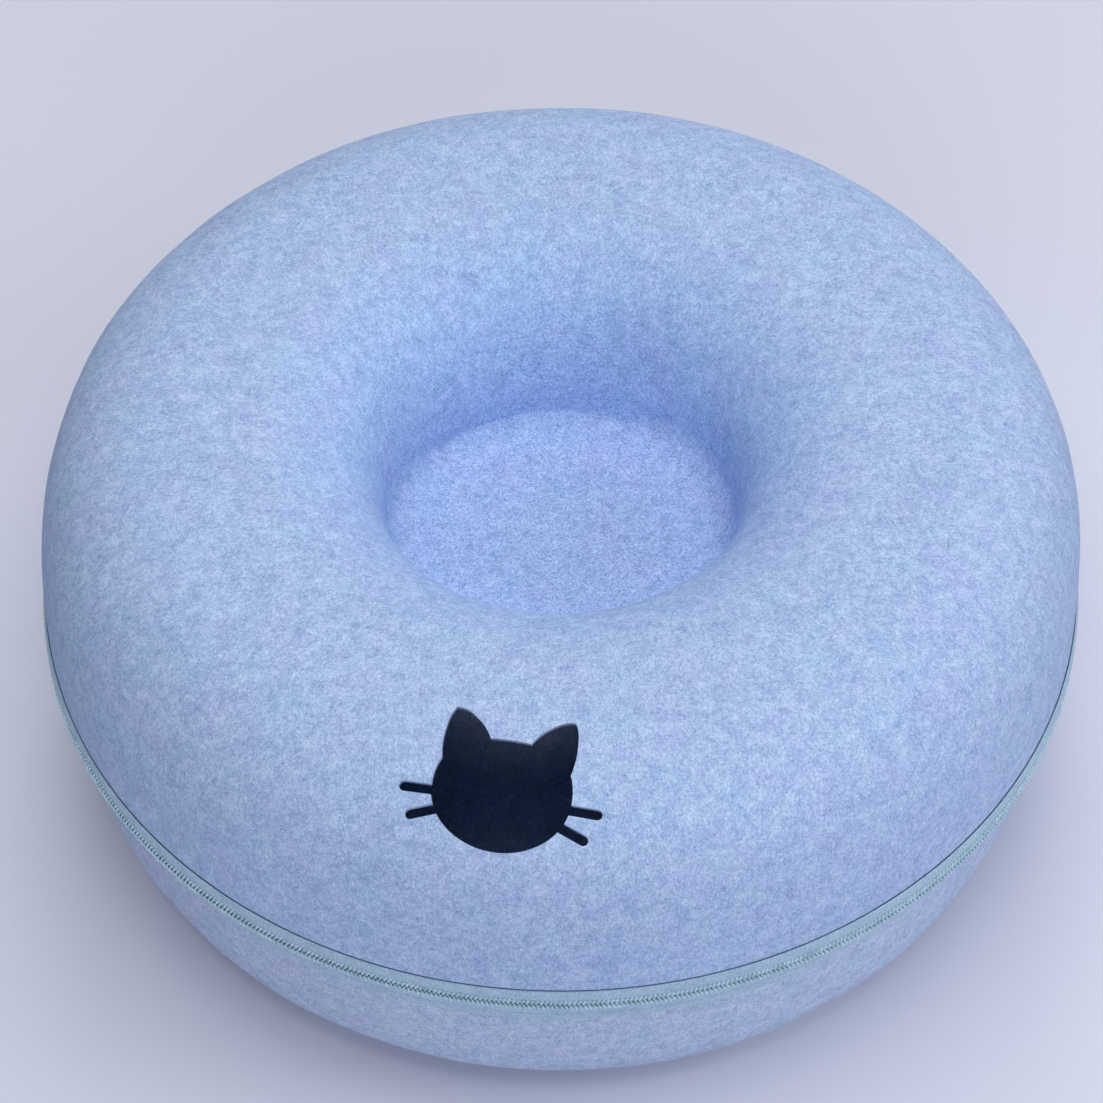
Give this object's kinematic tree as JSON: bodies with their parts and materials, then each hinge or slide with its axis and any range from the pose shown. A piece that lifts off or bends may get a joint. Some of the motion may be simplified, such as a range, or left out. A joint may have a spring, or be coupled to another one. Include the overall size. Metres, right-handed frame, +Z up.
{
  "type": "donut cat tunnel",
  "caption": "Ring-shaped felt cat tunnel in half shells zipped round the middle, with a top dimple, a cat-head peephole and a round rear entrance.",
  "frame": {"origin": "on the ring's vertical axis, at the level of the floor it stands on", "axes": "+Z up, -Y towards the side with the peephole, +Y towards the entrance, +X to the right seen from the peephole's side"},
  "size_m": [0.5, 0.4934, 0.214],
  "materials": {
    "upper_felt": "needle felt, blue and white melange",
    "lower_felt": "needle felt, blue and white melange",
    "zip_tape": "woven polyester tape, blue mint",
    "zip_coil": "nylon coil, blue mint",
    "seam_thread": "twisted polyester thread",
    "zip_metal": "enamelled zinc casting",
    "hook_nylon": "moulded nylon hooks",
    "loop_nylon": "brushed nylon loops"
  },
  "bodies": {
    "lower_half": {"lower_shell": "lower_felt", "lower_zip_tape": "zip_tape", "lower_zip_coil": "zip_coil", "lower_seam_thread": "seam_thread", "lower_end_stop_left": "zip_metal", "lower_end_stop_right": "zip_metal", "loop_patch": "loop_nylon"},
    "upper_half": {"upper_shell": "upper_felt", "upper_zip_tape": "zip_tape", "upper_zip_coil": "zip_coil", "upper_seam_thread": "seam_thread", "upper_end_stop_left": "zip_metal", "upper_end_stop_right": "zip_metal", "hook_patch": "hook_nylon"},
    "slider": {"slider_body": "zip_metal", "slider_crown": "zip_metal"},
    "pull": {"pull_tab": "zip_metal"}
  },
  "joints": [
    {"name": "lid_lift", "type": "slide", "parent": "lower_half", "child": "upper_half", "axis": [0, 0, 1], "range_m": [0, 0.15]},
    {"name": "slider_run", "type": "hinge", "parent": "lower_half", "child": "slider", "pos_m": [0, 0, 0.097], "axis": [0, 0, 1], "range_deg": [0, 318.49]},
    {"name": "pull_swing", "type": "hinge", "parent": "slider", "child": "pull", "pos_m": [-0.08923, 0.23546, 0.097], "axis": [0, 0, -1], "range_deg": [0, 180]}
  ]
}
